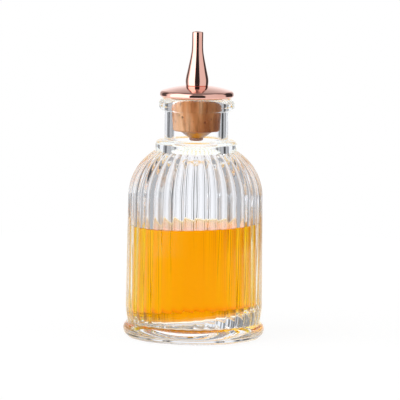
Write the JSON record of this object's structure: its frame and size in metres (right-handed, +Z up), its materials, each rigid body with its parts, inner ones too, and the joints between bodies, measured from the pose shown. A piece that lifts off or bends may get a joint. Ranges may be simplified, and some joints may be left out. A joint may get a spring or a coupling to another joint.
{
  "type": "bitters bottle",
  "caption": "Ribbed clear glass bitters bottle with amber liquid, closed by a tapered cork stopper that carries a domed copper disc and a slim dasher spout.",
  "frame": {"origin": "centre of the foot's bearing plane, on the bottle's axis", "axes": "+Z up along the bottle's axis; the part is round, so X and Y are free"},
  "size_m": [0.059, 0.059, 0.1277],
  "materials": {
    "glass": "clear pressed glass, fire polished",
    "bitters": "clear amber liquid",
    "cork": "natural cork",
    "copper": "mirror-polished copper plate",
    "washer": "bright pressed metal"
  },
  "bodies": {
    "bottle": {"bottle": "glass", "bitters_fill": "bitters"},
    "stopper": {"cork": "cork", "cap_disc": "copper", "spout": "copper", "stem_tube": "copper", "cone_washer": "washer"}
  },
  "joints": [
    {"name": "stopper_lift", "type": "slide", "parent": "bottle", "child": "stopper", "axis": [0, 0, 1], "range_m": [0, 0.04]}
  ]
}
